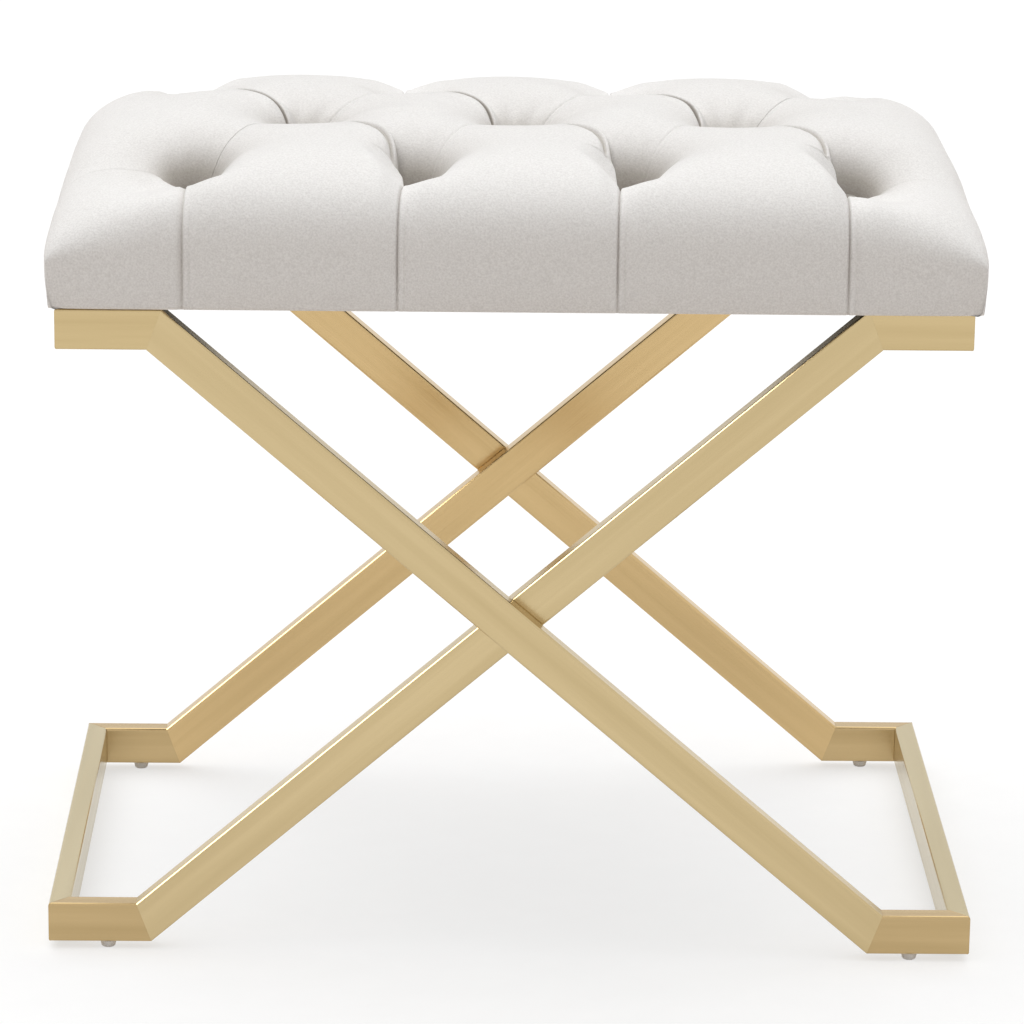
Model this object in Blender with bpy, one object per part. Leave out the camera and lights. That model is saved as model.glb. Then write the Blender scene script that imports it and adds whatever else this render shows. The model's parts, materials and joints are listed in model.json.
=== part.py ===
"""Upholstered bench: two crossed loops of brushed steel tube carry a deep-tufted velvet seat.

Metres, +Z up, the front faces -Y, and the origin lies on the floor under the middle of the seat.
"""

from math import copysign, cos, exp, hypot, pi, radians, sin, sqrt

import bmesh
import bpy
from mathutils import Vector
from mathutils.bvhtree import BVHTree

for old in list(bpy.data.objects):
    bpy.data.objects.remove(old)

# Gap between pieces that touch on the real bench
GAP = 0.0003

# Sides of turned pieces and holes, and angles in degrees below which a shape is shaded smooth
ROUND_SIDES = 16
TWINE_SIDES = 8
TWINE_HOLE_SIDES = 4
HEX_SIDES = 6
TUBE_SMOOTH = 20
ROUND_SMOOTH = 35
SOFT_SMOOTH = 60

# Frame: the outer loop has its arms at the left and its feet at the right, the inner loop the other way
ARM_SPAN = 0.573
FOOT_SPAN = 0.594
FRAME_DEPTH = 0.396
LEG_RISE = 0.3975
ARM_LENGTH = 0.0565
TUBE_HEIGHT = 0.026
TUBE_DEPTH = 0.014
TUBE_WALL = 0.0012
TUBE_CORNER = 0.0016
CORNER_STEPS = 3

# Push-in glides under the feet
GLIDE_HEIGHT = 0.005
GLIDE_TOP_RADIUS = 0.0055
GLIDE_BOTTOM_RADIUS = 0.0045
GLIDE_EDGE = 0.0007
GLIDE_STEM_RADIUS = 0.0024
GLIDE_BARB = 0.0006
GLIDE_TIP = 0.005
GLIDE_INSET = 0.038

# Corner tabs that carry the seat, and the bolts through them
TAB_SIDE = 0.046
TAB_END = 0.012
TAB_THICKNESS = 0.003
TAB_HOLE_INSET = 0.017
BOLT_RADIUS = 0.003
BOLT_HEAD_RADIUS = 0.0055
BOLT_HEAD_HEIGHT = 0.0033
BOLT_HEAD_FLAT = 0.0034
BOLT_HEAD_EDGE = 0.001
BOLT_CHAMFER = 0.0008
BOLT_SOCKET_RADIUS = 0.0023
BOLT_SOCKET_DEPTH = 0.0018
BOLT_HOLE_CLEARANCE = 0.0006
TEE_NUT_BARREL_RADIUS = 0.0043
TEE_NUT_BARREL_LENGTH = 0.009
TEE_NUT_FLANGE_RADIUS = 0.0095
TEE_NUT_FLANGE = 0.0015

# Seat: sizes of its lower edge follow the frame
SEAT_OVERHANG = 0.002
DUST_COVER = 0.0008
DUST_COVER_INSET = 0.012
FABRIC = 0.0012
FABRIC_RETURN = 0.025
BOARD_THICKNESS = 0.012
FOAM_HEIGHT = 0.073
CROWN = 0.003
FULLNESS = 2.1
SIDE_BULGE = 0.0045
BULGE_HEIGHT = 0.015
PLAN_CORNER = 0.012
CORNER_FULLNESS = 12

# Tufts: rows of 4, 3 and 4, with pleats along the diamonds and straight down the front and back
LONG_ROW_TUFTS = 4
TUFT_ROWS = 3
TUFT_END_MARGIN = 0.077
TUFT_FRONT_MARGIN = 0.100
TUFT_DEPTH = 0.040
TUFT_REACH = 0.018
PLEAT_DEPTH = 0.013
PLEAT_REACH = 0.010
LATTICE_SHARES = (0, 0.24, 0.76)
MARGIN_SHARES = (0.22, 0.6, 0.88, 1.0)

# Covered buttons and the twines that hold them down
BUTTON_RADIUS = 0.008
BUTTON_RIM = 0.0016
BUTTON_DOME = 0.0034
TWINE_RADIUS = 0.001
TWINE_CLEARANCE = 0.0008
KNOT_RADIUS = 0.004
RIM_SAMPLES = 48

# Levels, from the floor up
FOOT_UNDERSIDE = GLIDE_HEIGHT
ARM_UNDERSIDE = FOOT_UNDERSIDE + LEG_RISE
FRAME_TOP = ARM_UNDERSIDE + TUBE_HEIGHT
DUST_BOTTOM = FRAME_TOP + GAP
COVER_BOTTOM = DUST_BOTTOM + DUST_COVER + GAP
BOARD_BOTTOM = COVER_BOTTOM + FABRIC + GAP
BOARD_TOP = BOARD_BOTTOM + BOARD_THICKNESS
FOAM_BOTTOM = BOARD_TOP + GAP
SEAT_WIDEST = FOAM_BOTTOM + BULGE_HEIGHT
SEAT_CREST = FOAM_BOTTOM + FOAM_HEIGHT + GAP + FABRIC

INNER_DEPTH = FRAME_DEPTH - 2 * (TUBE_DEPTH + GAP)
SEAT_WIDTH = ARM_SPAN + 2 * SEAT_OVERHANG
SEAT_DEPTH = FRAME_DEPTH + 2 * SEAT_OVERHANG
TUFT_PITCH = (SEAT_WIDTH - 2 * TUFT_END_MARGIN) / (LONG_ROW_TUFTS - 1)
ROW_PITCH = (SEAT_DEPTH - 2 * TUFT_FRONT_MARGIN) / (TUFT_ROWS - 1)


def finish(name, colour, roughness, metallic=0.0):
    material = bpy.data.materials.new(name)
    material.use_nodes = True
    shader = material.node_tree.nodes["Principled BSDF"]
    shader.inputs["Base Color"].default_value = (*colour, 1)
    shader.inputs["Roughness"].default_value = roughness
    shader.inputs["Metallic"].default_value = metallic
    material.diffuse_color = (*colour, 1)
    return material


BRUSHED_GOLD = finish("brushed_gold", (0.62, 0.46, 0.23), 0.34, 1.0)
ZINC_STEEL = finish("zinc_steel", (0.56, 0.56, 0.54), 0.4, 1.0)
NYLON = finish("clear_nylon", (0.72, 0.69, 0.64), 0.35)
VELVET = finish("pale_velvet", (0.79, 0.76, 0.73), 0.95)
FOAM = finish("cream_foam", (0.78, 0.70, 0.52), 0.95)
PLYWOOD = finish("plywood", (0.55, 0.38, 0.21), 0.7)
BLACK_CLOTH = finish("black_cloth", (0.02, 0.02, 0.022), 0.95)
TWINE = finish("waxed_twine", (0.62, 0.55, 0.42), 0.8)

bench = bpy.data.objects.new("bench", None)
bpy.context.scene.collection.objects.link(bench)


def mesh_of(name, shape, material, smooth_angle=ROUND_SMOOTH):
    """Turns a bmesh into a mesh with outward faces and smooth round sides."""
    bmesh.ops.recalc_face_normals(shape, faces=shape.faces)
    mesh = bpy.data.meshes.new(name)
    shape.to_mesh(mesh)
    shape.free()
    mesh.materials.append(material)
    mesh.shade_smooth()
    mesh.set_sharp_from_angle(angle=radians(smooth_angle))
    return mesh


def place(name, mesh, location=(0, 0, 0)):
    piece = bpy.data.objects.new(name, mesh)
    piece.location = location
    piece.parent = bench
    bpy.context.scene.collection.objects.link(piece)
    return piece


def make_cutter(name, mesh, location=(0, 0, 0)):
    cutter = place(name, mesh, location)
    cutter.hide_render = True
    cutter.display_type = "WIRE"
    return cutter


def cut(piece, cutter):
    hole = piece.modifiers.new(cutter.name, "BOOLEAN")
    hole.operation = "DIFFERENCE"
    hole.solver = "EXACT"
    hole.object = cutter


def wall(shape, loop, next_loop):
    """Faces between two closed loops of as many points."""
    for k in range(len(loop)):
        n = (k + 1) % len(loop)
        shape.faces.new((loop[k], loop[n], next_loop[n], next_loop[k]))


def turned(profile, steps):
    """A profile of (radius, height) points spun about Z, closed at the axis or as a ring."""
    shape = bmesh.new()
    points = [shape.verts.new((radius, 0, height)) for radius, height in profile]
    edges = [shape.edges.new(pair) for pair in zip(points, points[1:])]
    if profile[0][0] > 0:
        edges.append(shape.edges.new((points[-1], points[0])))
    bmesh.ops.spin(
        shape, geom=points + edges, axis=(0, 0, 1), cent=(0, 0, 0), angle=2 * pi, steps=steps
    )
    bmesh.ops.remove_doubles(shape, verts=shape.verts, dist=1e-6)
    return shape


def prism(sides, radius, bottom, top):
    """An upright prism of this many sides on the Z axis."""
    shape = bmesh.new()
    bmesh.ops.create_circle(shape, cap_ends=True, segments=sides, radius=radius)
    bmesh.ops.translate(shape, verts=shape.verts, vec=(0, 0, bottom))
    raised = bmesh.ops.extrude_face_region(shape, geom=list(shape.faces))["geom"]
    lifted = [item for item in raised if isinstance(item, bmesh.types.BMVert)]
    bmesh.ops.translate(shape, verts=lifted, vec=(0, 0, top - bottom))
    return shape


def repeated(shape, places):
    """One mesh with a copy of the shape at each place, each still a body of its own."""
    joined = bmesh.new()
    single = bpy.data.meshes.new("single")
    shape.to_mesh(single)
    shape.free()
    for spot in places:
        before = len(joined.verts)
        joined.from_mesh(single)
        joined.verts.ensure_lookup_table()
        bmesh.ops.translate(joined, verts=joined.verts[before:], vec=spot)
    bpy.data.meshes.remove(single)
    return joined


# Frame loops


def bend_place(span):
    """Distance from the middle to the bend of the tube's centre line, for arms or feet of this span.

    The half angle of the bend follows from the leg's rise and from the arm's length on its short side.
    """
    run = (ARM_SPAN + FOOT_SPAN) / 4 - ARM_LENGTH
    half_rise = LEG_RISE / 2
    slack = half_rise - TUBE_HEIGHT
    half_angle_tangent = (sqrt(run * run + half_rise * slack) - run) / slack
    return span / 2 - ARM_LENGTH - TUBE_HEIGHT / 2 * half_angle_tangent


def section(half_depth, half_height, corner):
    """A rounded rectangle across the tube, as (sideways, upward) points."""
    points = []
    for quarter in range(4):
        turn = quarter * pi / 2
        reach_x = copysign(half_depth - corner, cos(turn + pi / 4))
        reach_z = copysign(half_height - corner, sin(turn + pi / 4))
        for step in range(CORNER_STEPS + 1):
            angle = turn + pi / 2 * step / CORNER_STEPS
            points.append((reach_x + corner * cos(angle), reach_z + corner * sin(angle)))
    return points


def mitred_tube(start, end, start_normal, end_normal):
    """A hollow tube between two corners of a loop, with its open ends cut along the mitre planes."""
    axis = (end - start).normalized()
    sideways = axis.cross(Vector((0, 0, 1))).normalized()
    upward = sideways.cross(axis)
    middle = (start + end) / 2
    shape = bmesh.new()
    outer = section(TUBE_DEPTH / 2, TUBE_HEIGHT / 2, TUBE_CORNER)
    inner_corner = max(TUBE_CORNER - TUBE_WALL, TUBE_WALL / 4)
    inner = section(TUBE_DEPTH / 2 - TUBE_WALL, TUBE_HEIGHT / 2 - TUBE_WALL, inner_corner)
    loops = []
    for corner, normal, shift in ((start, start_normal, GAP / 2), (end, end_normal, -GAP / 2)):
        plane_point = corner + normal * shift
        for outline in (outer, inner):
            loop = []
            for side, up in outline:
                point = corner + sideways * side + upward * up
                slide = (plane_point - point).dot(normal) / axis.dot(normal)
                loop.append(shape.verts.new(point + axis * slide - middle))
            loops.append(loop)
    outer_start, inner_start, outer_end, inner_end = loops
    wall(shape, outer_start, outer_end)
    wall(shape, inner_end, inner_start)
    wall(shape, inner_start, outer_start)
    wall(shape, outer_end, inner_end)
    return shape, middle


def tube_loop(prefix, arm_side, depth):
    """One closed loop of eight tubes, with its arms at arm_side (-1 left, 1 right)."""
    arm_x = arm_side * (ARM_SPAN - TUBE_DEPTH) / 2
    foot_x = -arm_side * (FOOT_SPAN - TUBE_DEPTH) / 2
    row_y = (depth - TUBE_DEPTH) / 2
    arm_z = ARM_UNDERSIDE + TUBE_HEIGHT / 2
    foot_z = FOOT_UNDERSIDE + TUBE_HEIGHT / 2
    names = (
        "front_arm",
        "front_leg",
        "front_foot",
        "floor_bar",
        "rear_foot",
        "rear_leg",
        "rear_arm",
        "seat_bar",
    )
    front = [
        Vector((arm_x, -row_y, arm_z)),
        Vector((arm_side * bend_place(ARM_SPAN), -row_y, arm_z)),
        Vector((-arm_side * bend_place(FOOT_SPAN), -row_y, foot_z)),
        Vector((foot_x, -row_y, foot_z)),
    ]
    rear = [Vector((point.x, row_y, point.z)) for point in reversed(front)]
    corners = front + rear
    count = len(corners)
    along = [(corners[(k + 1) % count] - corners[k]).normalized() for k in range(count)]
    mitres = [(along[k - 1] + along[k]).normalized() for k in range(count)]
    tubes = {}
    for k, name in enumerate(names):
        n = (k + 1) % count
        shape, middle = mitred_tube(corners[k], corners[n], mitres[k], mitres[n])
        full_name = f"{prefix}_{name}"
        tubes[name] = place(full_name, mesh_of(full_name, shape, BRUSHED_GOLD, TUBE_SMOOTH), middle)
    return tubes


LOOPS = (("outer", -1, FRAME_DEPTH), ("inner", 1, INNER_DEPTH))
loop_tubes = {prefix: tube_loop(prefix, arm_side, depth) for prefix, arm_side, depth in LOOPS}


# Glides: a tapered head under the foot, a stem through its lower wall and a barb inside the tube

stem_hole = GLIDE_STEM_RADIUS + GAP
barb_level = GLIDE_HEIGHT + TUBE_WALL + GAP
glide_profile = (
    (0, 0),
    (GLIDE_BOTTOM_RADIUS - GLIDE_EDGE, 0),
    (GLIDE_BOTTOM_RADIUS, GLIDE_EDGE),
    (GLIDE_TOP_RADIUS, GLIDE_HEIGHT - GAP),
    (GLIDE_STEM_RADIUS, GLIDE_HEIGHT - GAP),
    (GLIDE_STEM_RADIUS, barb_level),
    (stem_hole + GLIDE_BARB, barb_level),
    (GLIDE_STEM_RADIUS / 2, barb_level + GLIDE_TIP),
    (0, barb_level + GLIDE_TIP),
)
glide_mesh = mesh_of("glide", turned(glide_profile, ROUND_SIDES), NYLON)
stem_hole_mesh = mesh_of(
    "glide_hole", prism(ROUND_SIDES, stem_hole, -TUBE_WALL, 2 * TUBE_WALL), BRUSHED_GOLD
)
for prefix, arm_side, depth in LOOPS:
    for row, row_side in (("front", -1), ("rear", 1)):
        glide_x = -arm_side * (FOOT_SPAN / 2 - GLIDE_INSET)
        glide_y = row_side * (depth - TUBE_DEPTH) / 2
        name = f"{prefix}_{row}_glide"
        hole = make_cutter(f"{name}_hole", stem_hole_mesh, (glide_x, glide_y, FOOT_UNDERSIDE))
        cut(loop_tubes[prefix][f"{row}_foot"], hole)
        place(name, glide_mesh, (glide_x, glide_y, 0))


# Corner tabs, bolts and tee nuts

bolt_hole = BOLT_RADIUS + BOLT_HOLE_CLEARANCE
bolt_underside = FRAME_TOP - TAB_THICKNESS - GAP
bolt_tip = BOARD_TOP - TEE_NUT_FLANGE
bolt_places = []


def corner_tab(arm_side, row_side):
    """A three-sided plate with blunt ends that fills the corner of arm and seat bar."""
    outline = (
        (GAP, GAP),
        (TAB_SIDE, GAP),
        (TAB_SIDE, TAB_END),
        (TAB_END, TAB_SIDE),
        (GAP, TAB_SIDE),
    )
    shape = bmesh.new()
    points = [shape.verts.new((-arm_side * x, -row_side * y, 0)) for x, y in outline]
    plate = shape.faces.new(points)
    raised = bmesh.ops.extrude_face_region(shape, geom=[plate])["geom"]
    lifted = [item for item in raised if isinstance(item, bmesh.types.BMVert)]
    bmesh.ops.translate(shape, verts=lifted, vec=(0, 0, TAB_THICKNESS))
    return shape


bolt_length = bolt_tip - bolt_underside
bolt_profile = (
    (0, -BOLT_HEAD_HEIGHT),
    (BOLT_HEAD_FLAT, -BOLT_HEAD_HEIGHT),
    (BOLT_HEAD_RADIUS, -BOLT_HEAD_EDGE),
    (BOLT_HEAD_RADIUS, 0),
    (BOLT_RADIUS, 0),
    (BOLT_RADIUS, bolt_length - BOLT_CHAMFER),
    (BOLT_RADIUS - BOLT_CHAMFER, bolt_length),
    (0, bolt_length),
)
nut_profile = (
    (BOLT_RADIUS + GAP, -TEE_NUT_BARREL_LENGTH),
    (TEE_NUT_BARREL_RADIUS, -TEE_NUT_BARREL_LENGTH),
    (TEE_NUT_BARREL_RADIUS, 0),
    (TEE_NUT_FLANGE_RADIUS, 0),
    (TEE_NUT_FLANGE_RADIUS, TEE_NUT_FLANGE),
    (BOLT_RADIUS + GAP, TEE_NUT_FLANGE),
)
bolt_mesh = mesh_of("seat_bolt", turned(bolt_profile, ROUND_SIDES), ZINC_STEEL)
nut_mesh = mesh_of("tee_nut", turned(nut_profile, ROUND_SIDES), ZINC_STEEL)
socket_mesh = mesh_of(
    "socket",
    prism(HEX_SIDES, BOLT_SOCKET_RADIUS, -2 * BOLT_HEAD_HEIGHT, BOLT_SOCKET_DEPTH - BOLT_HEAD_HEIGHT),
    ZINC_STEEL,
)
tab_hole_mesh = mesh_of(
    "tab_hole", prism(ROUND_SIDES, bolt_hole, -TAB_THICKNESS, 2 * TAB_THICKNESS), ZINC_STEEL
)
for prefix, arm_side, depth in LOOPS:
    for row, row_side in (("front", -1), ("rear", 1)):
        corner_x = arm_side * (ARM_SPAN / 2 - TUBE_DEPTH)
        corner_y = row_side * (depth / 2 - TUBE_DEPTH)
        bolt_x = corner_x - arm_side * TAB_HOLE_INSET
        bolt_y = corner_y - row_side * TAB_HOLE_INSET
        tab_z = FRAME_TOP - TAB_THICKNESS
        tab_name = f"{prefix}_{row}_tab"
        tab_mesh = mesh_of(tab_name, corner_tab(arm_side, row_side), BRUSHED_GOLD)
        tab = place(tab_name, tab_mesh, (corner_x, corner_y, tab_z))
        cut(tab, make_cutter(f"{tab_name}_hole", tab_hole_mesh, (bolt_x, bolt_y, tab_z)))
        bolt_spot = (bolt_x, bolt_y, bolt_underside)
        bolt = place(f"{prefix}_{row}_bolt", bolt_mesh, bolt_spot)
        cut(bolt, make_cutter(f"{prefix}_{row}_socket", socket_mesh, bolt_spot))
        place(f"{prefix}_{row}_tee_nut", nut_mesh, (bolt_x, bolt_y, BOARD_TOP - TEE_NUT_FLANGE))
        bolt_places.append((bolt_x, bolt_y, 0))


# Seat surface: one lattice whose lines run through the tufts, used for the cover and for the foam

LATTICE_STEPS = len(LATTICE_SHARES)
LAST_TUFT_COLUMN = (LONG_ROW_TUFTS - 1) * LATTICE_STEPS
LAST_TUFT_ROW = (TUFT_ROWS - 1) * LATTICE_STEPS // 2
LAST_COLUMN = LAST_TUFT_COLUMN + len(MARGIN_SHARES)
LAST_ROW = LAST_TUFT_ROW + len(MARGIN_SHARES)
DIAMOND = 2 * LATTICE_STEPS


def lattice_line(index, last_tuft_line, spacing, reach):
    """Place of one lattice line, and its share (0 to 1) of the way from the outer tufts to the edge.

    The spacing is that of the lines through tufts. The lines between lie close to them, where the
    seat bends most.
    """
    inside = min(abs(index), last_tuft_line)
    share = 0.0 if abs(index) == inside else MARGIN_SHARES[abs(index) - inside - 1]
    tuft_edge = (inside // LATTICE_STEPS + LATTICE_SHARES[inside % LATTICE_STEPS]) * spacing
    return copysign(tuft_edge + share * (reach - tuft_edge), index), share


def seat_plan(column, row, drawn_in=0.0):
    """Plan place of a lattice point and its shares of the end and the front margin.

    The outline is drawn in by so much from the seat's widest edge.
    """
    wide_x = SEAT_WIDTH / 2 + SIDE_BULGE - drawn_in
    wide_y = SEAT_DEPTH / 2 + SIDE_BULGE - drawn_in
    x, end_share = lattice_line(column, LAST_TUFT_COLUMN, TUFT_PITCH / 2, wide_x)
    y, front_share = lattice_line(row, LAST_TUFT_ROW, ROW_PITCH, wide_y)
    pull = PLAN_CORNER * (1 - sqrt(0.5)) * (end_share * front_share) ** CORNER_FULLNESS
    return x - copysign(pull, x), y - copysign(pull, y), end_share, front_share


def is_tuft(column, row):
    inside = abs(column) <= LAST_TUFT_COLUMN and abs(row) <= LAST_TUFT_ROW
    return inside and (column + row) % DIAMOND == 0 and (column - row) % DIAMOND == 0


TUFTS = [
    (column, row)
    for row in range(-LAST_TUFT_ROW, LAST_TUFT_ROW + 1)
    for column in range(-LAST_TUFT_COLUMN, LAST_TUFT_COLUMN + 1)
    if is_tuft(column, row)
]
TUFT_PLACES = [seat_plan(column, row)[:2] for column, row in TUFTS]


def pleat_distance(x, y):
    """Distance to the nearest pleat: along the diamonds, or straight down the front and back."""
    if abs(y) > ROW_PITCH * (TUFT_ROWS - 1) / 2 + GAP:
        return min(abs(x - tuft_x) for tuft_x, tuft_y in TUFT_PLACES if tuft_y * y > 0)
    slope = hypot(1 / TUFT_PITCH, 1 / (2 * ROW_PITCH))
    one_way = x / TUFT_PITCH + y / (2 * ROW_PITCH)
    other_way = x / TUFT_PITCH - y / (2 * ROW_PITCH)
    return min(abs(one_way - round(one_way)), abs(other_way - round(other_way))) / slope


def seat_point(column, row, inset):
    """A point of the seat: its full form, pressed in by tufts, pleats and the inset of this layer."""
    x, y, end_share, front_share = seat_plan(column, row)
    margin = (end_share**CORNER_FULLNESS + front_share**CORNER_FULLNESS) ** (1 / CORNER_FULLNESS)
    rise = (1 - min(1.0, margin) ** FULLNESS) ** (1 / FULLNESS)
    crown = CROWN * (1 - (2 * x / SEAT_WIDTH) ** 2) * (1 - (2 * y / SEAT_DEPTH) ** 2)
    height = SEAT_WIDEST + (SEAT_CREST - CROWN - SEAT_WIDEST) * rise + crown * rise
    outward = Vector((copysign(end_share**2, x), copysign(front_share**2, y), rise)).normalized()
    nearest_tuft = min(hypot(x - tuft_x, y - tuft_y) for tuft_x, tuft_y in TUFT_PLACES)
    dent = TUFT_DEPTH * exp(-nearest_tuft / TUFT_REACH)
    if end_share == 0:
        dent += PLEAT_DEPTH * exp(-pleat_distance(x, y) / PLEAT_REACH) * (1 - front_share)
    return Vector((x, y, height)) - outward * (dent + inset)


EDGE_LOOP = (
    [(column, -LAST_ROW) for column in range(-LAST_COLUMN, LAST_COLUMN)]
    + [(LAST_COLUMN, row) for row in range(-LAST_ROW, LAST_ROW)]
    + [(column, LAST_ROW) for column in range(LAST_COLUMN, -LAST_COLUMN, -1)]
    + [(-LAST_COLUMN, row) for row in range(LAST_ROW, -LAST_ROW, -1)]
)


def edge_ring(drawn_in, level):
    """The seat's outline at one level, drawn in by so much from its widest edge."""
    return [Vector((*seat_plan(column, row, drawn_in)[:2], level)) for column, row in EDGE_LOOP]


def add_seat_skin(shape, inset, rings):
    """Adds the tufted surface and a skirt below its edge. Gives back the skirt's last loop."""
    points = {
        (column, row): shape.verts.new(seat_point(column, row, inset))
        for column in range(-LAST_COLUMN, LAST_COLUMN + 1)
        for row in range(-LAST_ROW, LAST_ROW + 1)
    }
    for column in range(-LAST_COLUMN, LAST_COLUMN):
        for row in range(-LAST_ROW, LAST_ROW):
            near_left = points[column, row]
            near_right = points[column + 1, row]
            far_right = points[column + 1, row + 1]
            far_left = points[column, row + 1]
            # Each cell is split along the pleat that crosses it, or else away from the tuft beside it
            across_pleat = (column + row + 1) % DIAMOND == 0
            beside_node = (column + row + 1) % LATTICE_STEPS == 0 and (column - row) % LATTICE_STEPS
            if across_pleat or beside_node:
                shape.faces.new((near_left, near_right, far_left))
                shape.faces.new((near_right, far_right, far_left))
            else:
                shape.faces.new((near_left, near_right, far_right))
                shape.faces.new((near_left, far_right, far_left))
    loop = [points[spot] for spot in EDGE_LOOP]
    for ring in rings:
        next_loop = [shape.verts.new(point) for point in ring]
        wall(shape, next_loop, loop)
        loop = next_loop
    return loop


def foam_edge(inset):
    """The outline where foam and board meet, part of the way from the widest edge to the lower edge."""
    return edge_ring(SIDE_BULGE * BULGE_HEIGHT / (SEAT_WIDEST - COVER_BOTTOM) + inset, FOAM_BOTTOM)


def cover_rings(inset):
    """The rings of the cover's skirt, down to the lower edge and in under the board."""
    lower_edge = edge_ring(SIDE_BULGE + inset, COVER_BOTTOM + inset)
    return_edge = edge_ring(SIDE_BULGE + FABRIC_RETURN, COVER_BOTTOM + inset)
    return lower_edge, return_edge


twine_cutter = make_cutter(
    "twine_holes",
    mesh_of(
        "twine_holes",
        repeated(
            prism(
                TWINE_HOLE_SIDES,
                TWINE_RADIUS + TWINE_CLEARANCE,
                BOARD_BOTTOM - BOARD_THICKNESS,
                2 * SEAT_CREST,
            ),
            [(x, y, 0) for x, y in TUFT_PLACES],
        ),
        TWINE,
    ),
)

# Velvet cover: one cloth over top and sides, turned in under the board

cover_shape = bmesh.new()
outer_hem = add_seat_skin(cover_shape, 0, cover_rings(0))
cloth_tree = BVHTree.FromBMesh(cover_shape)
inner_hem = add_seat_skin(cover_shape, FABRIC, cover_rings(FABRIC))
wall(cover_shape, inner_hem, outer_hem)
cover = place("velvet_cover", mesh_of("velvet_cover", cover_shape, VELVET, SOFT_SMOOTH))
cut(cover, twine_cutter)

# Foam pad: the same form inside the cloth, flat on the board

foam_shape = bmesh.new()
foam_inset = FABRIC + GAP
foam_shape.faces.new(add_seat_skin(foam_shape, foam_inset, [foam_edge(foam_inset)]))
foam = place("foam_pad", mesh_of("foam_pad", foam_shape, FOAM, SOFT_SMOOTH))
cut(foam, twine_cutter)


def sheet(ring, thickness_up):
    """A flat sheet with the outline of a ring, with points left out along its straight sides."""
    shape = bmesh.new()
    shape.faces.new([shape.verts.new(point) for point in ring])
    bmesh.ops.dissolve_limit(shape, angle_limit=radians(0.5), verts=shape.verts, edges=shape.edges)
    raised = bmesh.ops.extrude_face_region(shape, geom=list(shape.faces))["geom"]
    lifted = [item for item in raised if isinstance(item, bmesh.types.BMVert)]
    bmesh.ops.translate(shape, verts=lifted, vec=(0, 0, thickness_up))
    return shape


# Seat board: plywood with holes for the twines and counterbored holes for the tee nuts

board_ring = edge_ring(SIDE_BULGE + FABRIC + GAP, BOARD_BOTTOM)
board = place("seat_board", mesh_of("seat_board", sheet(board_ring, BOARD_THICKNESS), PLYWOOD))
cut(board, twine_cutter)
above_board = BOARD_TOP + BOARD_THICKNESS
nut_hole = prism(ROUND_SIDES, TEE_NUT_BARREL_RADIUS + GAP, BOARD_BOTTOM - BOARD_THICKNESS, above_board)
nut_seat = prism(ROUND_SIDES, TEE_NUT_FLANGE_RADIUS + GAP, BOARD_TOP - TEE_NUT_FLANGE - GAP, above_board)
for cutter_name, cutter_shape in (("nut_holes", nut_hole), ("nut_seats", nut_seat)):
    cutter_mesh = mesh_of(cutter_name, repeated(cutter_shape, bolt_places), PLYWOOD)
    cut(board, make_cutter(cutter_name, cutter_mesh))

# Dust cover: black cloth between board and frame

dust_ring = edge_ring(SIDE_BULGE + DUST_COVER_INSET, DUST_BOTTOM)
dust = place("dust_cover", mesh_of("dust_cover", sheet(dust_ring, DUST_COVER), BLACK_CLOTH))
dust_hole = prism(ROUND_SIDES, bolt_hole, DUST_BOTTOM - BOARD_THICKNESS, DUST_BOTTOM + BOARD_THICKNESS)
dust_holes = mesh_of("dust_holes", repeated(dust_hole, bolt_places), BLACK_CLOTH)
cut(dust, make_cutter("dust_holes", dust_holes))

# Tuft buttons, each as low in its tuft as the cloth lets it go, and the twines that pull them down


def button_seat(x, y):
    """Height of the cloth under a button's rim, where it is highest."""
    rim = BUTTON_RADIUS + GAP
    heights = []
    for step in range(RIM_SAMPLES):
        angle = 2 * pi * step / RIM_SAMPLES
        above = Vector((x + rim * cos(angle), y + rim * sin(angle), 2 * SEAT_CREST))
        heights.append(cloth_tree.ray_cast(above, Vector((0, 0, -1)))[0].z)
    return max(heights)


button_profile = (
    (0, 0),
    (BUTTON_RADIUS - BUTTON_RIM / 2, 0),
    (BUTTON_RADIUS, BUTTON_RIM / 2),
    (BUTTON_RADIUS, BUTTON_RIM),
    (BUTTON_RADIUS * cos(pi / 6), BUTTON_RIM + BUTTON_DOME * sin(pi / 6)),
    (BUTTON_RADIUS * cos(pi / 3), BUTTON_RIM + BUTTON_DOME * sin(pi / 3)),
    (0, BUTTON_RIM + BUTTON_DOME),
)
button_mesh = mesh_of("tuft_button", turned(button_profile, ROUND_SIDES), VELVET, SOFT_SMOOTH)
knot_bottom = COVER_BOTTOM
knot_top = BOARD_BOTTOM - GAP
ROW_NAMES = {-LAST_TUFT_ROW: "front", 0: "middle", LAST_TUFT_ROW: "rear"}
row_counts = dict.fromkeys(ROW_NAMES, 0)
for (_, row), (x, y) in zip(TUFTS, TUFT_PLACES):
    row_counts[row] += 1
    label = f"{ROW_NAMES[row]}_{row_counts[row]}"
    seat_level = button_seat(x, y) + GAP
    place(f"button_{label}", button_mesh, (x, y, seat_level))
    twine_profile = (
        (0, knot_bottom),
        (KNOT_RADIUS, knot_bottom),
        (KNOT_RADIUS, knot_top),
        (TWINE_RADIUS, knot_top),
        (TWINE_RADIUS, seat_level - GAP),
        (0, seat_level - GAP),
    )
    twine_mesh = mesh_of(f"twine_{label}", turned(twine_profile, TWINE_SIDES), TWINE)
    place(f"twine_{label}", twine_mesh, (x, y, 0))
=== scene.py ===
"""Looks of the upholstered bench: brushed gold loops, cloudy glides and a deep-tufted velvet seat."""

import json
from math import cos, pi, radians, sin

import bpy
import numpy as np
from mathutils import Matrix, Vector, noise

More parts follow.
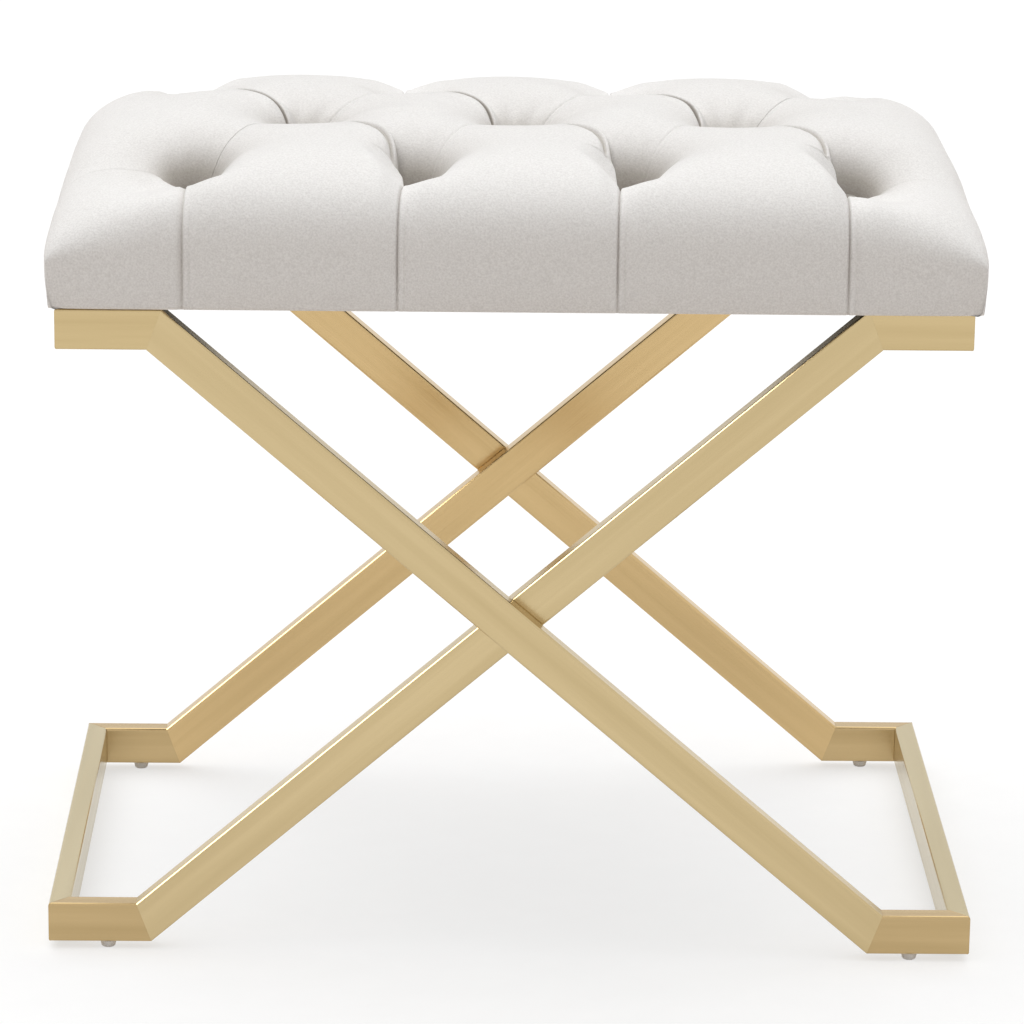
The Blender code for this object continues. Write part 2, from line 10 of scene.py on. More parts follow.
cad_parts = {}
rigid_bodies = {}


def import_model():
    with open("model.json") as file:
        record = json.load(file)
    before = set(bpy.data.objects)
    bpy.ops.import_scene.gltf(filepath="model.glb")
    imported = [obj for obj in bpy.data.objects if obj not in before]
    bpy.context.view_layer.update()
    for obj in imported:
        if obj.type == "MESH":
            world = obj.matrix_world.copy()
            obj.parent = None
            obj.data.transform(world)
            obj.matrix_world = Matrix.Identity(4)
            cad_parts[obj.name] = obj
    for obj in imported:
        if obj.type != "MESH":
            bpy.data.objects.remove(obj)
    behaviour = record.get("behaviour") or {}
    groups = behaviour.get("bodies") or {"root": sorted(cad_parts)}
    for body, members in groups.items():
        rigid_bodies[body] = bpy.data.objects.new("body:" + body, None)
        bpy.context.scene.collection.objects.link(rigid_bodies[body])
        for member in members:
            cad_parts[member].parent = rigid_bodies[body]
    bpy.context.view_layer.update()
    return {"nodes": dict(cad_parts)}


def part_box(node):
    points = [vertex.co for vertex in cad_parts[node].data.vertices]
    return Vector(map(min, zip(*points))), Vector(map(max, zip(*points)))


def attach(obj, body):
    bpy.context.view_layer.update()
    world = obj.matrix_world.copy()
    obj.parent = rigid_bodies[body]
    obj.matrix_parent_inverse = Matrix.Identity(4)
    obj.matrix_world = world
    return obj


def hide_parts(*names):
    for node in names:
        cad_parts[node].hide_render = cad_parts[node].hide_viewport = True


for leftover in list(bpy.data.objects):
    bpy.data.objects.remove(leftover)
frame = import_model()
nodes = frame["nodes"]
bpy.ops.object.select_all(action="DESELECT")

# Frame tubes. Two closed loops of rectangular steel tube, plated satin gold and brushed along
# their length. The brushing turns with each tube, so arms, bars and both slopes of leg differ.
# Each kind of tube also gets a tone that paints in the shade and reflections it shows.


def new_material(name):
    """A node material, its node tree and its shader."""
    material = bpy.data.materials.new(name)
    material.use_nodes = True
    tree = material.node_tree
    return material, tree, tree.nodes["Principled BSDF"]


def textured(tree, kind, turn=(0, 0, 0), stretch=(1, 1, 1), **settings):
    """A texture node on Object coordinates, turned and stretched, with its socket values."""
    place = tree.nodes.new("ShaderNodeTexCoord")
    mapping = tree.nodes.new("ShaderNodeMapping")
    mapping.vector_type = "TEXTURE"
    mapping.inputs["Rotation"].default_value = turn
    mapping.inputs["Scale"].default_value = stretch
    texture = tree.nodes.new(kind)
    for socket, value in settings.items():
        texture.inputs[socket].default_value = value
    tree.links.new(place.outputs["Object"], mapping.inputs["Vector"])
    tree.links.new(mapping.outputs["Vector"], texture.inputs["Vector"])
    return texture


def ramp(tree, source, stops):
    """A colour ramp over a value, with stops of (place, colour)."""
    node = tree.nodes.new("ShaderNodeValToRGB")
    while len(node.color_ramp.elements) < len(stops):
        node.color_ramp.elements.new(0.5)
    for element, (place, colour) in zip(node.color_ramp.elements, stops):
        element.position = place
        element.color = (*colour, 1)
    tree.links.new(source, node.inputs["Fac"])
    return node.outputs["Color"]


def ranged(tree, source, low, high, from_low=0.3, from_high=0.7):
    """A value moved from one range to another."""
    node = tree.nodes.new("ShaderNodeMapRange")
    node.inputs["From Min"].default_value = from_low
    node.inputs["From Max"].default_value = from_high
    node.inputs["To Min"].default_value = low
    node.inputs["To Max"].default_value = high
    tree.links.new(source, node.inputs["Value"])
    return node.outputs["Result"]


def bump(tree, source, strength, distance, below=None):
    """A bump from a value, on top of another bump where one is given."""
    node = tree.nodes.new("ShaderNodeBump")
    node.inputs["Strength"].default_value = strength
    node.inputs["Distance"].default_value = distance
    tree.links.new(source, node.inputs["Height"])
    if below is not None:
        tree.links.new(below, node.inputs["Normal"])
    return node.outputs["Normal"]


def brushed_gold(name, turn, painted_tone=(1, 1, 1)):
    """Satin gold with hairline brushing along the tube (X after the turn), tinted with painted shade
    and reflection.
    """
    material, tree, shader = new_material(name)
    bands = textured(tree, "ShaderNodeTexNoise", turn, (0.30, 0.011, 0.011), Scale=1.0, Detail=3.0)
    hairs = textured(tree, "ShaderNodeTexNoise", turn, (0.14, 0.0006, 0.0006), Scale=1.0, Detail=2.0)
    dark = [a * b for a, b in zip((0.56, 0.438, 0.240), painted_tone)]
    light = [a * b for a, b in zip((0.63, 0.498, 0.284), painted_tone)]
    gold = ramp(tree, bands.outputs["Fac"], ((0.32, dark), (0.68, light)))
    tree.links.new(gold, shader.inputs["Base Color"])
    tree.links.new(ranged(tree, hairs.outputs["Fac"], 0.18, 0.27), shader.inputs["Roughness"])
    tree.links.new(bump(tree, hairs.outputs["Fac"], 0.03, 0.0004), shader.inputs["Normal"])
    shader.inputs["Metallic"].default_value = 1.0
    return material


def dress(node, material):
    """Gives a CAD node its finish."""
    mesh = nodes[node].data
    mesh.materials.clear()
    mesh.materials.append(material)


arm_low, arm_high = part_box("outer_front_arm")
tube_height = arm_high.z - arm_low.z
tube_depth = arm_high.y - arm_low.y
mitre_gap = 0.00028
mitre_run = arm_high.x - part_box("outer_front_leg")[0].x + mitre_gap
half_bend = np.arctan2(mitre_run, tube_height)
leg_slope = 2 * half_bend
# Painted shade and reflection in the tones: arms under the seat and feet darker, feet and rear legs
# warmer, bars less yellow
level_gold = brushed_gold("gold_brushed_level", (0, 0, 0), (0.95, 0.93, 0.88))
foot_gold = brushed_gold("gold_brushed_foot", (0, 0, 0), (0.86, 0.80, 0.72))
bar_gold = brushed_gold("gold_brushed_bar", (0, 0, pi / 2), (0.87, 0.93, 1.0))
painted_leg_tones = {"front": (0.97, 0.965, 0.95), "rear": (1.03, 0.94, 0.83)}
for loop, turn in (("outer", leg_slope), ("inner", -leg_slope)):
    for row, painted_tone in painted_leg_tones.items():
        leg_gold = brushed_gold(f"gold_brushed_{loop}_{row}_leg", (0, turn, 0), painted_tone)
        dress(f"{loop}_{row}_arm", level_gold)
        dress(f"{loop}_{row}_foot", foot_gold)
        dress(f"{loop}_{row}_leg", leg_gold)
    dress(f"{loop}_floor_bar", bar_gold)
    dress(f"{loop}_seat_bar", bar_gold)

# Weld seams. The tubes are mitred and welded, and the welds are ground flush and plated with the
# rest, so that only hairlines show. One thin plate fills each mitre.

seam_corner = 0.0016
seam_thickness = mitre_gap
seam_inset = 0.0001
half_gap = 0.00015


def seam_plate(length, height):
    """A thin plate across a tube's outline, with the tube's rounded corners."""
    bpy.ops.object.select_all(action="DESELECT")
    bpy.ops.mesh.primitive_cube_add(size=1)
    plate = bpy.context.object
    bpy.ops.object.mode_set(mode="EDIT")
    bpy.ops.mesh.select_mode(type="EDGE")
    bpy.ops.mesh.select_all(action="SELECT")
    bpy.ops.transform.resize(value=(1, length - seam_inset, height - seam_inset))
    bpy.ops.mesh.select_all(action="DESELECT")
    bpy.ops.object.mode_set(mode="OBJECT")
    for edge in plate.data.edges:
        first, second = (plate.data.vertices[number].co for number in edge.vertices)
        edge.select = abs(first.x - second.x) > 0.5
    bpy.ops.object.mode_set(mode="EDIT")
    bpy.ops.mesh.bevel(offset=seam_corner, segments=3, affect="EDGES")
    bpy.ops.mesh.select_all(action="SELECT")
    bpy.ops.transform.resize(value=(seam_thickness, 1, 1))
    bpy.ops.object.mode_set(mode="OBJECT")
    return plate


def put_seam(name, plate, centre, turn, material):
    """A copy of a plate in its mitre."""
    seam = plate.copy()
    seam.data = plate.data.copy()
    seam.name = f"weld_seam_{name}"
    seam.data.transform(Matrix.Translation(centre) @ turn)
    seam.data.materials.append(material)
    bpy.context.scene.collection.objects.link(seam)
    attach(seam, "root")


leg_plate = seam_plate(tube_depth, tube_height / cos(half_bend))
bar_plate = seam_plate(tube_depth * 2**0.5, tube_height)
for loop, way in (("outer", 1), ("inner", -1)):
    for row, side in (("front", -1), ("rear", 1)):
        for tube, bar, end in (("arm", "seat_bar", -way), ("foot", "floor_bar", way)):
            material = level_gold if tube == "arm" else foot_gold
            low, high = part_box(f"{loop}_{row}_{tube}")
            tip = high.x if end < 0 else low.x
            middle = (low + high) / 2
            bar_low, bar_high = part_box(f"{loop}_{bar}")
            middle.x = tip + end * (mitre_run / 2 - half_gap)
            turn = Matrix.Rotation(way * half_bend, 4, "Y")
            put_seam(f"{loop}_{row}_{tube}", leg_plate, middle, turn, material)
            middle.x = (bar_low.x + bar_high.x) / 2
            turn = Matrix.Rotation(-end * side * pi / 4, 4, "Z")
            put_seam(f"{loop}_{row}_{bar}", bar_plate, middle, turn, material)
bpy.data.objects.remove(leg_plate)
bpy.data.objects.remove(bar_plate)

# Glides. Small moulded feet of cloudy nylon, one pushed into the underside of each foot of the
# loops, so that the frame stands clear of the floor.

nylon, tree, shader = new_material("glide_nylon")
cloud = textured(tree, "ShaderNodeTexNoise", Scale=420.0, Detail=3.0)
milk = ramp(tree, cloud.outputs["Fac"], ((0.3, (0.86, 0.85, 0.83)), (0.7, (0.93, 0.92, 0.90))))
tree.links.new(milk, shader.inputs["Base Color"])
tree.links.new(ranged(tree, cloud.outputs["Fac"], 0.35, 0.5), shader.inputs["Roughness"])
shader.inputs["IOR"].default_value = 1.5
for loop in ("outer", "inner"):
    for row in ("front", "rear"):
        dress(f"{loop}_{row}_glide", nylon)

# Corner tabs, seat bolts and tee nuts. The tabs are plated with the frame, the bolts and nuts are
# bright zinc, and all of them show only from below.

zinc, tree, shader = new_material("bolt_zinc")
spangle = textured(tree, "ShaderNodeTexVoronoi", Scale=900.0)
grey = ramp(tree, spangle.outputs["Distance"], ((0.0, (0.50, 0.50, 0.49)), (0.8, (0.64, 0.64, 0.62))))
tree.links.new(grey, shader.inputs["Base Color"])
tree.links.new(ranged(tree, spangle.outputs["Distance"], 0.3, 0.45, 0, 0.8), shader.inputs["Roughness"])
shader.inputs["Metallic"].default_value = 1.0
for loop in ("outer", "inner"):
    for row in ("front", "rear"):
        dress(f"{loop}_{row}_tab", level_gold)
        dress(f"{loop}_{row}_bolt", zinc)
        dress(f"{loop}_{row}_tee_nut", zinc)

# Seat board and tuft twines. A plywood board carries the foam, and waxed twine ties each button
# down to a knot plate under the board. The cushion and the dust cover hide them.

plywood, tree, shader = new_material("board_plywood")
grain = textured(tree, "ShaderNodeTexNoise", (0, 0, 0), (0.09, 0.005, 0.003), Scale=1.0, Detail=5.0)
wood = ramp(tree, grain.outputs["Fac"], ((0.3, (0.42, 0.27, 0.14)), (0.7, (0.62, 0.45, 0.27))))
tree.links.new(wood, shader.inputs["Base Color"])
tree.links.new(ranged(tree, grain.outputs["Fac"], 0.6, 0.8), shader.inputs["Roughness"])
tree.links.new(bump(tree, grain.outputs["Fac"], 0.2, 0.0004), shader.inputs["Normal"])
dress("seat_board", plywood)

twine, tree, shader = new_material("twine_waxed")
lay = textured(tree, "ShaderNodeTexWave", (0, radians(40), 0), Scale=700.0, Distortion=1.0)
fibre = ramp(tree, lay.outputs["Fac"], ((0.2, (0.46, 0.39, 0.27)), (0.8, (0.66, 0.59, 0.45))))
tree.links.new(fibre, shader.inputs["Base Color"])
shader.inputs["Roughness"].default_value = 0.7
tuft_names = [f"front_{k}" for k in (1, 2, 3, 4)]
tuft_names += [f"middle_{k}" for k in (1, 2, 3)]
tuft_names += [f"rear_{k}" for k in (1, 2, 3, 4)]
for tuft in tuft_names:
    dress(f"twine_{tuft}", twine)

# Dust cover. A sheet of thin black non-woven cloth between the seat and the frame. It is held
# tight along its edges and sags slightly in the middle.


def eased(share):
    """A share, held between 0 and 1 and eased at both ends."""
    return np.sin(np.clip(share, 0, 1) * pi / 2) ** 2


def grid_faces(index):
    """The faces of a grid, from its point numbers in rows and columns."""
    corners = [index[:-1, :-1], index[:-1, 1:], index[1:, 1:], index[1:, :-1]]
    return np.stack(corners, axis=-1).reshape(-1, 4)


black_cloth, tree, shader = new_material("dust_cover_cloth")
felt = textured(tree, "ShaderNodeTexNoise", Scale=1500.0, Detail=4.0)
black = ramp(tree, felt.outputs["Fac"], ((0.3, (0.010, 0.010, 0.011)), (0.7, (0.030, 0.030, 0.032))))
tree.links.new(black, shader.inputs["Base Color"])
tree.links.new(bump(tree, felt.outputs["Fac"], 0.4, 0.0003), shader.inputs["Normal"])
shader.inputs["Roughness"].default_value = 0.95
dust_low, dust_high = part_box("dust_cover")
dust_level = arm_high.z + 0.0004
dust_edge = 0.001
sag = 0.0022
ripple_height = 0.0003
across = np.linspace(dust_low.x + dust_edge, dust_high.x - dust_edge, 121)
along = np.linspace(dust_low.y + dust_edge, dust_high.y - dust_edge, 81)
cloth_x, cloth_y = np.meshgrid(across, along)
free_x = eased((0.232 - np.abs(cloth_x)) / 0.09)
free_y = eased((0.176 - np.abs(cloth_y)) / 0.08)
free = free_x * free_y
ripple = ripple_height * np.sin(cloth_x * 60 + 2 * np.sin(cloth_y * 25)) * free
cloth_z = dust_level - sag * free + ripple
cloth_index = np.arange(cloth_x.size).reshape(cloth_x.shape)
cloth_faces = grid_faces(cloth_index.T)
cloth_points = np.stack([cloth_x, cloth_y, cloth_z], axis=-1).reshape(-1, 3)
dust_mesh = bpy.data.meshes.new("dust_cover_sheet")
dust_mesh.from_pydata(cloth_points.tolist(), [], cloth_faces.tolist())
dust_mesh.shade_smooth()
dust_mesh.materials.append(black_cloth)
dust_sheet = bpy.data.objects.new("dust_cover_sheet", dust_mesh)
bpy.context.scene.collection.objects.link(dust_sheet)
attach(dust_sheet, "root")
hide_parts("dust_cover")

# Tufted cushion. One cloth of pale short-pile velvet over foam, drawn down at eleven tufts in rows
# of four, three and four. The spare cloth lies in folded pleats: along the diamonds between the
# tufts, and straight down the front and back from the outer rows.


def centre_of(node):
    """Middle of a CAD node's box."""
    low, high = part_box(node)
    return (low + high) / 2


seat_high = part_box("velvet_cover")[1]
seat_half_width = seat_high.x + 0.001
seat_half_depth = seat_high.y
seat_crest = seat_high.z + 0.0032
seat_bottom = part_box("outer_front_arm")[1].z + 0.0003
seat_widest = seat_bottom + 0.030
tuft_x = [centre_of(f"button_front_{k}").x for k in (1, 2, 3, 4)]
tuft_y = centre_of("button_rear_1").y
tuft_pitch = tuft_x[1] - tuft_x[0]
tuft_spots = [centre_of(f"button_{tuft}").to_2d() for tuft in tuft_names]
tuft_depth = 0.050
left_rim = 0.0085
right_rim = 0.0050
pleat_half_width = 0.0022
front_crown = 0.004
rear_crown = 0.014
end_round_start = 0.185
front_fullness = 3.0
end_fullness = 2.5
plan_corner = 0.009
front_corner_fall = 0.38
rear_left_fall = 0.65
rear_right_fall = 0.45
end_fold_share = 0.3

# Rows from front to back, close together at the tufts and where the seat turns down
margin_turn = np.linspace(1, 0, 48, endpoint=False) ** 1.6
margin_share = np.sin(margin_turn * pi / 2) ** (2 / front_fullness)
margin_y = tuft_y + margin_share * (seat_half_depth - tuft_y)
half_y = tuft_y * (1 + np.cos(np.linspace(0, pi, 36, endpoint=False))) / 2
row_y = np.concatenate([-margin_y, -half_y, [0.0], half_y[::-1], margin_y[::-1]])

# Nine bands of columns, whose edges follow the pleats from row to row
between = np.clip(1 - np.abs(row_y) / tuft_y, 0, 1)
outside = np.clip(np.abs(row_y) - tuft_y, 0, None)
lean = tuft_pitch / 2 - left_rim - right_rim
left_lean = lean * np.where(row_y < 0, between**2.2, between)
right_lean = lean * np.where(row_y < 0, between, 1 - (1 - between) ** 1.7)
strip_close = np.clip(outside / 0.030, 0, 1) ** 0.7
strip_left_half = left_rim + (pleat_half_width - left_rim) * strip_close
strip_right_half = right_rim + (pleat_half_width - right_rim) * strip_close
pleat_top = (0.0070, 0.0050, -0.0008, -0.0016)
pleat_drift = (-0.0005, -0.0066, -0.0054, -0.0024)
rear_fold_drift = (0.0045, -0.0035, -0.0095, 0)
top_share = np.where(row_y < 0, 1 - between, 0)
drift_share = np.where(row_y < 0, outside / outside.max(), 0)
middle_share = np.where(row_y < 0, between**2, between)
band_edges = [np.full_like(row_y, -seat_half_width)]
for k, tuft in enumerate(tuft_x):
    strip_middle = tuft + pleat_top[k] * top_share + pleat_drift[k] * drift_share
    left_share = end_fold_share if k == 0 else 1
    right_share = end_fold_share if k == 3 else 1
    rear_drift = rear_fold_drift[k] * middle_share
    band_edges.append(strip_middle - strip_left_half - left_lean * left_share)
    band_edges.append(strip_middle + strip_right_half + rear_drift + right_lean * right_share)
band_edges.append(np.full_like(row_y, seat_half_width))


def crowded(count):
    """Shares of a band's width, crowded towards both of its edges, where the pleats are."""
    turn = np.linspace(-1, 1, count, endpoint=False)
    return (1 + np.sign(turn) * (1 - (1 - np.abs(turn)) ** 1.8)) / 2


end_shares = 1 - np.cos(np.linspace(0, 1, 41) ** 1.2 * pi / 2)
band_shares = [end_shares[:-1]]
band_shares += [crowded(56)] * 7
band_shares.append(1 - end_shares[::-1])
x = []
left_away = []
right_away = []
band = []
band_bow = []
slant = 1 - (1 - tuft_y / np.hypot(tuft_y, tuft_pitch / 2)) * np.sin(between * pi)[:, None]
for k, shares in enumerate(band_shares):
    left = band_edges[k][:, None]
    width = band_edges[k + 1][:, None] - left
    x.append(left + shares * width)
    left_away.append(shares * width * slant)
    right_away.append((1 - shares) * width * slant)
    band.append(np.full(x[-1].shape, k))
    band_bow.append(1 - (1 - (2 * shares - 1) ** 2) * np.clip(width / tuft_pitch, 0, 1))
x = np.concatenate(x, axis=1)
left_away = np.concatenate(left_away, axis=1)
right_away = np.concatenate(right_away, axis=1)
band = np.concatenate(band, axis=1)
band_bow = np.concatenate(band_bow, axis=1)
y = np.broadcast_to(row_y[:, None], x.shape)
outside = np.broadcast_to(outside[:, None], x.shape)

# Full form: level on top, rounded over at the front, the back and the ends
end_share = np.clip((np.abs(x) - end_round_start) / (seat_half_width - end_round_start), 0, 1)
front_share = outside / (seat_half_depth - tuft_y)
end_rise = np.clip(1 - end_share**end_fullness, 0, 1) ** (1 / end_fullness)
front_rise = np.clip(1 - front_share**front_fullness, 0, 1) ** (1 / front_fullness)
rear_fall = np.where(x < 0, rear_left_fall, rear_right_fall)
corner_fall = np.where(y < 0, front_corner_fall, rear_fall) * end_share**1.1
corner_fall *= front_share ** np.where(y < 0, 1.9, 0.7)
rise = end_rise * front_rise * (1 - corner_fall)
crown_drop = np.where(y < 0, front_crown, rear_crown) * (y / seat_half_depth) ** 2
height = seat_widest + (seat_crest - crown_drop - seat_widest) * rise
pull = plan_corner * (1 - 0.5**0.5) * (end_share * front_share) ** 8
outward = np.stack([np.sign(x) * end_share**3, np.sign(y) * front_share**3, rise + 1e-6], axis=-1)
outward /= np.linalg.norm(outward, axis=-1, keepdims=True)

# Bowls round the tufts. To the right of a left-leaning pleat a bowl is wide, to its left the cloth
# stays high and drops to the fold over a short way. The shade painted into the pile colour of a
# pit, where shadow falls, ends sharply in front of its tuft and softly further out
front_half = y < 0
inner = outside == 0
blend = 3.0
bowls = np.zeros_like(x)
nearest = np.ones_like(x)
pit_drift = (0.0055, 0.0050, 0.0035, 0.0040)
slack_tufts = {"rear_1": 0.75, "rear_4": 0.6}
rear_flap = np.exp(-((left_away / 0.0068) ** 4)) * ~front_half * inner
for tuft, spot in zip(tuft_names, tuft_spots):
    row, k = tuft.split("_")
    k = int(k) - 1
    away = np.hypot(x - spot.x, y - spot.y)
    nearest = np.minimum(nearest, away)
    low_away = away
    high_start = 0.002
    low_start = 0.004
    if row == "front":
        high_side = (band <= 2 * k) & (k > 0)
        high_start = -0.0026
        low_start = 0.0065
        high_reach = 0.0085
        low_reach = 0.0170
        low_away = np.hypot(x - spot.x - pit_drift[k], y - spot.y)
        flap = 0
    elif row == "middle":
        high_side = np.where(front_half, band <= 2 * k + 2, band <= 2 * k + 1)
        high_reach = 0.0140 + 0.0015 * np.clip(-y / 0.03, 0, 1)
        low_reach = 0.0180 + 0.0070 * np.clip(y / 0.03, 0, 1)
        flap = rear_flap * (band == 2 * k + 2)
    else:
        high_side = (band <= 2 * k + 1) & (k < 3)
        high_reach = 0.0105
        low_reach = 0.0125 - 0.0020 * np.clip(outside / 0.02, 0, 1)
        flap = rear_flap * ((band == 2 * k + 2) & (k < 3))
    high_bowl = np.exp(-np.maximum(away - high_start, 0) / high_reach)
    low_bowl = np.exp(-np.maximum(low_away - low_start, 0) / low_reach)
    low_bowl += (high_bowl - low_bowl) * flap
    drawn = slack_tufts.get(tuft, 1)
    bowls += (drawn * np.where(high_side, high_bowl, low_bowl)) ** blend
# Painted shade: how far the pile colour is darkened in each pit, where shadow falls
sharp_shade = 0.005
soft_shade = 0.030
shade_reach = sharp_shade + soft_shade * np.clip((nearest - 0.016) / 0.020, 0, 1)
painted_shade = np.minimum(bowls, 1) ** (1 / blend) * np.exp(-outside / shade_reach)

# Beyond the outer rows, each straight pleat lies in a valley that closes towards the lower edge.
# At the front the lips are round to the right of a pleat, and on both sides of the first one
valley_length = 0.062
rear_valley = 0.15
valley_least = 0.04
end_lip = 0.040
inner_lip = 0.030
valley_fade = np.exp(-((outside / valley_length) ** 2.3))
valley_start = 1 - np.exp(-outside / 0.008)
soft_start = 1 - np.exp(-((outside / 0.024) ** 2))
valley_depth = (0.56, 0.56, 0.60, 0.70)
valley_round = 0.006 * np.exp(-outside / 0.015)
closing = np.exp(-((outside / 0.052) ** 2))
end_side = (1, 0, 0, -1)
wide_side = 0.012 + 0.036 * closing
close_side = 0.010 + 0.020 * closing
settle = np.clip(outside / 0.025, 0, 1)
narrow = eased((outside - 0.052) / 0.034)
end_narrow = eased((outside - 0.066) / 0.034)
for k in range(4):
    valley = np.where(front_half, tuft_x[k] + pit_drift[k], tuft_x[k])
    side = x - valley - (band_edges[2 * k + 1][:, None] - valley) * settle
    reach = np.where((side < 0) & (k > 0) & front_half, close_side, wide_side)
    aside = np.hypot(side, valley_round) - valley_round
    at_end = side * end_side[k] < 0
    apart = np.clip(-side * end_side[k] / 0.022, 0, 1)
    depth = np.where(front_half, valley_depth[k], rear_valley) * valley_fade + valley_least
    depth *= valley_start + (soft_start - valley_start) * apart
    sharp_lip = np.clip(1 - aside / reach, 0, 1) ** 1.3
    round_lip = np.exp(-((np.abs(side) / np.where(at_end, end_lip, inner_lip)) ** 3.2))
    round_lip += (sharp_lip - round_lip) * np.where(at_end, end_narrow, narrow)
    lip = np.where(front_half & ((side > 0) | (k == 0)), round_lip, sharp_lip)
    bowls += (depth * lip) ** blend
dent = tuft_depth * np.minimum(bowls, 1) ** (1 / blend)

# The puffs bow up between the pleats, and the front corners slope down past the end tufts
front_bow = 0.0025
rear_bow = 0.0055
bow_reach = 0.03
corner_slope = 0.014
slope_length = 0.074
band_bow = np.where(band == 0, np.exp(-right_away / bow_reach), band_bow)
band_bow = np.where(band == 8, np.exp(-left_away / bow_reach), band_bow)
bow = front_bow + np.where(y > 0, rear_bow, 0) * np.clip(outside / bow_reach, 0, 1)
dent += bow * band_bow * (1 - 0.8 * front_share**2)
slope_start = eased((0.06 - y - tuft_y) / 0.08)
past_tuft = eased((np.abs(x) - tuft_x[3]) / 0.04)
slope_fade = np.exp(-((outside / slope_length) ** 2.3))
dent += corner_slope * slope_start * past_tuft * slope_fade * (1 - end_share**4)
smoothings = 6
for repeat in range(smoothings):
    dent[1:-1] = (dent[:-2] + 2 * dent[1:-1] + dent[2:]) / 4

# Folds of the pleats. At the front a left-leaning pleat has a groove and a narrow rolled flap
# above its drop, at the rear a sharp groove and a flap below it. Right-leaning ones are creases
fold_start = np.where(front_half, (y + tuft_y + 0.010) / 0.018, y / 0.016)
fold_end = np.where(front_half, -y / 0.016, (tuft_y - y) / 0.018)
mid_line = eased(fold_start) * eased(fold_end)


def groove(away, depth, width):
    """A narrow groove at this distance from an edge."""
    return depth * np.exp(-((away / width) ** 2))


high_left = np.where(front_half, band % 2 == 0, band % 2 == 1)
front_roll = groove(right_away - 0.0046, depth=0.0026, width=0.0015)
front_roll -= groove(right_away - 0.0020, depth=0.0010, width=0.0011)
front_roll += 0.0034 * np.exp(-right_away / 0.0009)
front_foot = groove(left_away, depth=0.0050, width=0.0030)
rear_roll = 0.0020 * np.exp(-right_away / 0.0008)
rear_foot = groove(left_away, depth=0.0024, width=0.0010)
rear_foot -= groove(left_away - 0.0030, depth=0.0006, width=0.0014)
crease_right = groove(right_away, depth=0.0008, width=0.0008)
crease_left = groove(left_away, depth=0.0008, width=0.0008)
crease_left += groove(left_away - 0.0036, depth=0.0003, width=0.0009)
fold = np.where(high_left, np.where(front_half, front_roll, rear_roll), crease_right)
fold *= np.where(front_half, (band >= 2) & (band <= 6), (band >= 1) & (band <= 5))
left_fold = np.where(high_left, crease_left, np.where(front_half, front_foot, rear_foot))
left_fold *= (band >= 2) & (band <= 7)
fold = (fold + left_fold) * mid_line
flap_fade = np.clip((outside - np.where(front_half, 0.006, 0.030)) / 0.010, 0, 1)
flap_foot = np.clip((front_share - 0.90) / 0.10, 0, 1)
for k in range(4):
    first = band_edges[2 * k + 1][:, None]
    second = band_edges[2 * k + 2][:, None]
    fold += flap_fade * groove(x - first, depth=0.0020, width=0.0008)
    fold += flap_foot * groove(x - second, depth=0.0005, width=0.0006)
# Dark lines painted along the pleat edges, where the folds cast a thin shadow
edge_width = np.where(front_half, 0.0011, 0.0009)
edge_line = groove(right_away, depth=1.0, width=edge_width) * high_left
edge_line += groove(left_away, depth=1.0, width=0.0013) * ~high_left * (band > 1)
edge_line *= mid_line
edge_line *= np.where(front_half, (band >= 2) & (band <= 7), (band >= 1) & (band <= 6))
dent += fold
# Painted shade in the folds, along the pleat edges and in the front grooves, where shadow lies
fold_shade = np.clip(fold / 0.0065, 0, 0.75)
edge_shade = 0.85 * edge_line
roll_shade = groove(right_away - 0.0044, depth=0.50, width=0.0016) * high_left * mid_line
roll_shade *= front_half & (band >= 2) & (band <= 6)
for shade in (fold_shade, edge_shade, roll_shade):
    painted_shade = np.maximum(painted_shade, shade)

# Slack of the cloth: slow swells over the whole seat, and fine gathers behind the tufts
swell_scale = 14
swell_height = 0.0006
gather_count = 17
gather_ring = 0.044
gather_width = 0.018
swell = np.array(
    [
        [noise.noise(Vector((a * swell_scale, b * swell_scale, 3.0))) for a, b in zip(xs, ys)]
        for xs, ys in zip(x, y)
    ]
)
dent += swell_height * swell
for tuft, spot in zip(tuft_names, tuft_spots):
    angle = np.arctan2(y - spot.y, x - spot.x)
    away = np.hypot(x - spot.x, y - spot.y)
    behind = np.clip(np.sin(angle), 0, 1) ** 2
    gather_depth = 0.0010 if tuft.startswith("middle") else 0.0003
    gather = groove(away - gather_ring, depth=gather_depth, width=gather_width)
    dent += gather * behind * np.sin(gather_count * angle + 40 * spot.x)

points = np.stack([x - np.sign(x) * pull, y - np.sign(y) * pull, height], axis=-1)
full_points = points.reshape(-1, 3).copy()
lower_edge = points - outward * (np.minimum(fold, 0.0012) * 0.8)[..., None]
points -= outward * dent[..., None]

# Skirt: the sides below the widest edge, the rounded lower edge and the hem under the board
rows, columns = x.shape
index = np.arange(rows * columns).reshape(rows, columns)
rim = np.concatenate([index[0, :-1], index[:-1, -1], index[-1, :0:-1], index[:0:-1, 0]])
flat_points = points.reshape(-1, 3)
ring = flat_points[rim]
smooth_ring = lower_edge.reshape(-1, 3)[rim]
flank = np.roll(full_points[rim], -4, axis=0) - np.roll(full_points[rim], 4, axis=0)
out_x, out_y = flank[:, 1], -flank[:, 0]
length = np.hypot(out_x, out_y)
out_x, out_y = out_x / length, out_y / length
edge_round = 0.003
edge_drawn = 0.0028
hem_steps = ((0.012, 0.0006), (0.020, 0.0009), (0.034, 0.0009))
skirt = []
for step in np.linspace(0, 1, 13)[1:]:
    level = ring[:, 2] + (seat_bottom + edge_round - ring[:, 2]) * step
    skirt.append((step, edge_drawn * step**3, level))
for turn in np.linspace(0, pi / 2, 5)[1:]:
    level = np.full(len(rim), seat_bottom + edge_round * (1 - sin(turn)))
    skirt.append((1, edge_drawn + edge_round * (1 - cos(turn)), level))
